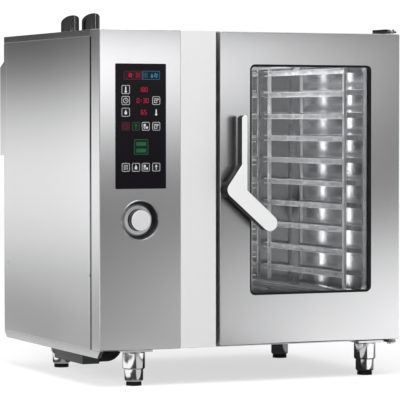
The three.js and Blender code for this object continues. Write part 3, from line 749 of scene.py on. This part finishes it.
COLUMNS = (84, 117, 149, 183)
bar_z = down(138)
slab(keys, rounded(78, 195, bar_z - 13, bar_z + 13, 2.5), KEY, FACE + 0.05)
for ink, x0, x1 in (("dim_red", 78, 136), ("blue", 138, 195)):
    mark(ink, rounded(x0, x1, bar_z - 13, bar_z + 13, 2.5),
         rounded(x0 + 1.1, x1 - 1.1, bar_z - 11.9, bar_z + 11.9, 1.8))
fan_mark(99, bar_z, "red")
waves(124, bar_z, "red")
waves(148, bar_z, "blue")
drop(169, bar_z - 1, "blue")
fan_mark(182, bar_z, "blue")

for depth, glyph in ((181, thermometer), (214, clock), (249, drop)):
    key(COLUMNS[0], down(depth), 26, "grey")
    glyph(COLUMNS[0], down(depth))
digits("180", 141, down(181))
digits("0:30", 139, down(214))
digits("65", 143, down(249))
key(COLUMNS[3], down(214), 25, "grey")
tray(COLUMNS[3], down(214))
thermometer(COLUMNS[3], down(249))

for x, ink, glyph in zip(COLUMNS, ("dim_red", "green", "grey", "grey"), (clock, arrow, squares, tray)):
    key(x, down(291), 25, ink)
    glyph(x, down(291), ink)
key(134, down(353), 46, "green", 1.6)
for depth in (344, 364):
    mark("green", rounded(118, 150, down(depth) - 5.5, down(depth) + 5.5, 2.0))
for x, glyph in zip(COLUMNS, (waves, drop, squares, arrow)):
    key(x, down(414), 25, "grey")
    glyph(x, down(414))

caps = bpy.data.meshes.new("key_caps")
keys.to_mesh(caps)
keys.free()
put("key_caps", caps, BLACK, "cabinet")
INK_LOOKS = {"grey": LEGEND, "red": RED_LIT, "dim_red": DIM_RED, "green": GREEN_LIT, "blue": BLUE_LIT}
for ink, shape in inks.items():
    mesh = bpy.data.meshes.new("legend_" + ink)
    shape.to_mesh(mesh)
    shape.free()
    put("legend_" + ink, mesh, INK_LOOKS[ink], "cabinet")

# ---- door ----------------------------------------------------------------------------

refine("door_outer_frame", DOOR_STEEL, 0.6, 4, fold=3.2)
refine("door_inner_frame", DOOR_STEEL, 0.9)
refine("window_seal", RUBBER, 1.0, 3)
sight = span("window_seal")
assembled("window_lip", lambda s: slab(
    s, rounded(sight[0] + 13.6, sight[1] - 13.6, sight[4] + 13.6, sight[5] - 13.6, 17, 8), 2.6, 9.2,
    hole=rounded(sight[0] + 20.4, sight[1] - 20.4, sight[4] + 20.4, sight[5] - 20.4, 11, 8)),
    RUBBER, "door", 0.7)
refine("window_glass_outer", OUTER_GLASS, 0.5)
refine("window_glass_inner", INNER_GLASS, 0.5)
refine("handle_lever", BLACK, 2.2, 3)
refine("handle_faceplate", PLATE, 0.9, 3)
refine("handle_escutcheon", BLACK, 0.8)
refine("latch_spindle", CHROME, 0.5)
refine("latch_keeper", DARK_STEEL, 0.6)
refine("door_gasket", RUBBER, 1.2, 3)

refine("upper_hinge_bracket", DARK_CHROME, 0.8)
refine("upper_hinge_cap", BLACK, 1.4, 3)
refine("upper_hinge_pin", CHROME, 0.5)
refine("lower_hinge_bracket", DARK_CHROME, 0.8)
refine("lower_hinge_pin", CHROME, 0.5)

# ---- cavity ---------------------------------------------------------------------------

refine("cavity_front_frame", DOOR_STEEL, 0.5)
refine("cavity_liner", LINER, 0.5)
refine("air_baffle", LINER, 0.5)
refine("rack_left", LIT_RACK_STEEL, 0.4)
refine("rack_right", LIT_RACK_STEEL, 0.4)
refine("drain_strainer", LINER, 0.4)
refine("cavity_lamp", CHROME, 0.8)
refine("fan_wheel", LINER, 0.4)
refine("fan_shaft", CHROME, 0.5)
refine("heating_coil", TUBE, 0.0)

# ---- services ---------------------------------------------------------------------------

refine("exhaust_pipe_1", DARKENED_PIPE_STEEL, 0.4, angle=50)
refine("exhaust_pipe_2", DARKENED_PIPE_STEEL, 0.4, angle=50)
refine("cable_gland", BLACK, 0.6)
refine("drain_trap", PIT, 1.5)


def swept(name, path, radius, look, body, sides=28, collars=()):
    """A closed round pipe along points in millimetres; collars lists the points where it is wider."""
    shape = bmesh.new()
    rings = []
    for i, point in enumerate(path):
        ahead = Vector(path[min(i + 1, len(path) - 1)]) - Vector(path[max(i - 1, 0)])
        side = ahead.cross(Vector((0, 1, 0))).normalized()
        other = ahead.cross(side).normalized()
        r = radius + (1.6 if i in collars else 0.0)
        rings.append([shape.verts.new(at(*(Vector(point) + side * r * math.cos(a) + other * r * math.sin(a))))
                      for a in (2 * math.pi * k / sides for k in range(sides))])
    faces = [shape.faces.new(rings[0]), shape.faces.new(rings[-1])]
    for low, high in zip(rings, rings[1:]):
        for k in range(sides):
            faces.append(shape.faces.new((low[k], low[(k + 1) % sides], high[(k + 1) % sides], high[k])))
    bmesh.ops.recalc_face_normals(shape, faces=faces)
    mesh = bpy.data.meshes.new(name)
    shape.to_mesh(mesh)
    shape.free()
    piece = put(name, mesh, look, body)
    return piece


elbow = span("drain_elbow")
ex, ey, ez = (elbow[0] + elbow[1]) / 2 + 19.5, (elbow[2] + elbow[3]) / 2, elbow[4] + 20.5
BEND = 28   # radius of the elbow's centre line
quarter = [math.radians(a) for a in range(0, 91, 10)]
bend = [(ex - BEND + BEND * math.sin(a), ey, ez + BEND - BEND * math.cos(a)) for a in quarter]
run = [(elbow[0], ey, ez), (elbow[0] + 9, ey, ez), (elbow[0] + 9.5, ey, ez)]
drain_path = run + bend + [(ex, ey, elbow[5])]
drain = swept("drain_bend", drain_path, 23.2, BLACK, "cabinet", collars=(0, 1))
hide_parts("drain_elbow")
refine("fan_motor", CAST, 1.0)
refine("cooling_fan", BLACK, 0.6)
refine("insulation_top", WOOL, 3.0, 3)
refine("insulation_right", WOOL, 3.0, 3)
refine("display_board", BOARD, 0.4)
refine("dial_encoder", DARK_STEEL, 0.4)
refine("encoder_spindle", BRASS, 0.3)
refine("contactor_panel", BLACK, 0.8)
refine("steam_generator", STEEL, 1.2)
refine("water_valve", BRASS, 0.8)

# ---- stage ---------------------------------------------------------------------------------

scene = bpy.context.scene


def sheet_mesh(name, corners, look):
    mesh = bpy.data.meshes.new(name)
    mesh.from_pydata([tuple(c) for c in corners], [], [(0, 1, 2, 3)])
    uv = mesh.uv_layers.new(name="across")
    for loop, place in zip(uv.data, ((0, 0), (1, 0), (1, 1), (0, 1))):
        loop.uv = place
    mesh.materials.append(look)
    obj = bpy.data.objects.new(name, mesh)
    scene.collection.objects.link(obj)
    return obj


BRIGHTEST = 6.0   # a colour ramp stops at one, so it holds brightness over this


def ramp(tree, pairs, source, mode="B_SPLINE", most=BRIGHTEST):
    """Brightness steps along a 0 to 1 value, as a share of the most there can be."""
    scale = tree.nodes.new("ShaderNodeValToRGB")
    scale.color_ramp.interpolation = mode
    parts = scale.color_ramp.elements
    while len(parts) < len(pairs):
        parts.new(0.5)
    for part, (place, value) in zip(parts, pairs):
        part.position = place
        part.color = (value / most, value / most, value / most, 1)
    tree.links.new(source, scale.inputs[0])
    return scale.outputs[0]


def remap(tree, source, low, high):
    level = tree.nodes.new("ShaderNodeMapRange")
    level.inputs["From Min"].default_value = low
    level.inputs["From Max"].default_value = high
    tree.links.new(source, level.inputs["Value"])
    return level.outputs[0]


def glow(name, left, right, cross=((0.0, 0.0), (1.0, 1.0))):
    """A softbox whose brightness changes with height, one way at its left and another at its right."""
    look = bpy.data.materials.new(name)
    look.use_nodes = True
    tree = look.node_tree
    tree.nodes.clear()
    out = tree.nodes.new("ShaderNodeOutputMaterial")
    emit = tree.nodes.new("ShaderNodeEmission")
    split = tree.nodes.new("ShaderNodeSeparateXYZ")
    tree.links.new(tree.nodes.new("ShaderNodeUVMap").outputs[0], split.inputs[0])
    mix = tree.nodes.new("ShaderNodeMix")
    mix.data_type = "RGBA"
    tree.links.new(ramp(tree, cross, split.outputs[0], "LINEAR", 1.0), mix.inputs[0])
    tree.links.new(ramp(tree, left, split.outputs[1]), mix.inputs[6])
    tree.links.new(ramp(tree, right, split.outputs[1]), mix.inputs[7])
    tree.links.new(mix.outputs[2], emit.inputs["Color"])
    emit.inputs["Strength"].default_value = BRIGHTEST
    tree.links.new(emit.outputs[0], out.inputs["Surface"])
    return look


def ramp_light(name, pairs):
    """A card whose brightness changes from its left to its right."""
    return glow(name, [(0.0, 0.0), (1.0, 0.0)], [(0.0, 2.0), (1.0, 2.0)],
                [(place, value / 2) for place, value in pairs])


def hide_but_reflect(obj):
    obj.visible_camera = False
    obj.visible_diffuse = False
    obj.visible_shadow = False
    obj.visible_transmission = False


def softbox(name, corners, look):
    """Seen only in reflections."""
    box = sheet_mesh(name, corners, look)
    hide_but_reflect(box)
    return box


floor_look = Look("floor_paint", (0.45, 0.45, 0.45), rough=0.8)
floor_look.finish(floor_look.noise(60.0), floor_look.noise(1.5), 0.01, 0.05, 0.0)
floor_look.shader.inputs["Emission Color"].default_value = (1, 1, 1, 1)
floor_look.shader.inputs["Emission Strength"].default_value = 0.64
sheet_mesh("floor", [(-14, -14, 0), (14, -14, 0), (14, 14, 0), (-14, 14, 0)], floor_look.material)


def upright(name, a, b, low, high, look):
    """An upright softbox between two places on the floor, left to right."""
    return softbox(name, [(*a, low), (*b, low), (*b, high), (*a, high)], look)


front, side = CORNER.y, CORNER.x
front_card = glow("front_glow",
                  [(0.0, 0.24), (0.1, 0.3), (0.21, 0.34), (0.377, 0.25), (0.5, 0.17), (0.6, 0.29),
                   (0.69, 0.74), (0.785, 1.35), (0.88, 1.75), (0.97, 1.8), (1.0, 1.4)],
                  [(0.0, 1.6), (0.21, 1.45), (0.3, 1.25), (0.36, 1.02), (0.44, 0.6), (0.52, 0.38),
                   (0.65, 0.24), (0.81, 0.24), (1.0, 0.2)],
                  ((0.3, 0.0), (0.78, 1.0)))
upright("front_softbox", (-0.9, front - 1.2), (2.0, front - 1.2), -0.15, 1.14, front_card)
side_card = glow("side_glow",
                 [(0.0, 0.36), (0.12, 0.44), (0.18, 0.52), (0.26, 0.82), (0.36, 1.0), (0.45, 1.0),
                  (0.52, 0.86), (0.58, 0.62), (0.62, 0.44), (0.66, 0.28), (0.73, 0.1), (1.0, 0.07)],
                 [(0.0, 0.48), (0.14, 0.55), (0.2, 0.68), (0.26, 0.88), (0.34, 1.1), (0.42, 1.2), (0.5, 1.14),
                  (0.56, 0.98), (0.62, 0.68), (0.67, 0.4), (0.72, 0.22), (0.78, 0.12), (1.0, 0.08)],
                 ((0.464, 0.0), (0.766, 0.12), (0.812, 0.9), (0.858, 1.0)))
upright("side_softbox", (side - 0.3, 2.4), (side - 0.3, -0.1), -0.05, 1.5, side_card)
strip_glow = ramp_light("strip_glow", [(0.0, 5.0), (1.0, 5.0)])
upright("strip_light", (1.28, front - 1.17), (1.48, front - 1.17), 1.15, 1.34, strip_glow)
# striped boards on the floor, which put streaks on the bright feet
boards = ramp_light("board_glow", [
    (0.0, 0.12), (0.245, 0.12), (0.25, 1.2), (0.35, 1.2), (0.355, 0.06), (0.41, 0.06),
    (0.415, 0.7), (0.545, 0.7), (0.55, 0.05), (0.6, 0.05), (0.61, 1.3), (1.0, 1.3)])
dark = ramp_light("dark_glow", [
    (0.0, 0.12), (0.3, 0.12), (0.305, 1.15), (0.388, 1.15), (0.392, 0.05), (0.41, 0.05),
    (0.415, 0.3), (0.44, 0.3), (0.445, 0.02), (0.658, 0.02), (0.665, 0.25), (1.0, 0.25)])
for name, x0, x1, y0, y1, look in (("floor_boards", -2.0, 2.0, front - 1.2, front - 0.03, boards),
                                   ("back_board", -2.0, 1.8, front - 0.03, 1.8, dark)):
    softbox(name, [(x0, y0, 0.004), (x1, y0, 0.004), (x1, y1, 0.004), (x0, y1, 0.004)], look)


def area_light(name, place, target, size, power, tall=None, colour=(1, 1, 1)):
    lamp_data = bpy.data.lights.new(name, "AREA")
    lamp_data.energy = power
    lamp_data.color = colour
    lamp_data.size = size
    if tall:
        lamp_data.shape = "RECTANGLE"
        lamp_data.size_y = tall
    lamp_object = bpy.data.objects.new(name, lamp_data)
    lamp_object.location = place
    lamp_object.rotation_euler = (Vector(target) - Vector(place)).to_track_quat("-Z", "Y").to_euler()
    scene.collection.objects.link(lamp_object)
    return lamp_object


area_light("overhead", (-0.6, -1.4, 3.4), (0, 0, 0.4), 2.6, 85)
area_light("left_fill", (-3.4, -1.2, 1.8), (-0.3, 0, 0.5), 1.8, 40).visible_glossy = False
for name, place, target, wide, tall, power in (
        ("cavity_top", (680, 400, 990), (680, 400, 300), 0.3, 0.4, 1.6),
        ("cavity_near", (512, 190, 600), (900, 190, 600), 0.015, 0.66, 0.22),
        ("cavity_middle", (512, 400, 600), (900, 400, 600), 0.015, 0.66, 0.22),
        ("cavity_far", (512, 610, 600), (900, 610, 600), 0.015, 0.66, 0.22)):
    inside = area_light(name, at(*place), at(*target), wide, power, tall)
    inside.visible_camera = False
    inside.visible_transmission = False

world = bpy.data.worlds.new("studio")
scene.world = world
world.use_nodes = True
tree = world.node_tree
links = tree.links
around = tree.nodes.new("ShaderNodeTexGradient")
around.gradient_type = "RADIAL"
split = tree.nodes.new("ShaderNodeSeparateXYZ")
direction = tree.nodes.new("ShaderNodeTexCoord").outputs["Generated"]
links.new(direction, around.inputs[0])
links.new(direction, split.inputs[0])
# softboxes and dark gaps round the studio, brighter overhead
bands = ramp(tree, [(0.0, 0.4), (0.04, 0.05), (0.42, 0.03), (0.5, 0.1), (0.56, 0.3), (0.62, 0.5),
                    (0.68, 0.62), (0.73, 0.3), (0.79, 0.12), (0.84, 0.7), (0.92, 0.25), (1.0, 0.4)],
             around.outputs[1])
heights = ramp(tree, [(0.0, 0.6), (0.42, 0.6), (0.52, 0.0), (0.6, 0.0), (0.8, 0.75), (1.0, 1.0)],
               remap(tree, split.outputs[2], -1, 1), most=1.0)
lit = tree.nodes.new("ShaderNodeMix")
lit.data_type = "RGBA"
links.new(heights, lit.inputs[0])
links.new(bands, lit.inputs[6])
lit.inputs[7].default_value = (0.85 / BRIGHTEST, 0.85 / BRIGHTEST, 0.85 / BRIGHTEST, 1)
backdrop = tree.nodes.new("ShaderNodeMix")
backdrop.data_type = "RGBA"
links.new(tree.nodes.new("ShaderNodeLightPath").outputs["Is Camera Ray"], backdrop.inputs[0])
links.new(lit.outputs[2], backdrop.inputs[6])
backdrop.inputs[7].default_value = (1.05 / BRIGHTEST, 1.05 / BRIGHTEST, 1.05 / BRIGHTEST, 1)
links.new(backdrop.outputs[2], tree.nodes["Background"].inputs["Color"])
tree.nodes["Background"].inputs["Strength"].default_value = BRIGHTEST
scene.view_settings.view_transform = "Standard"

camera_data = bpy.data.cameras.new("camera")
camera_data.lens = 224.75
camera_data.sensor_width = 36.0
camera_data.clip_end = 60.0
camera = bpy.data.objects.new("camera", camera_data)
camera.location = (-3.2618, -7.3507, 0.8074)
camera.rotation_euler = (math.radians(88.145), 0, math.radians(-23.995))
scene.collection.objects.link(camera)
scene.camera = camera

bpy.context.view_layer.update()
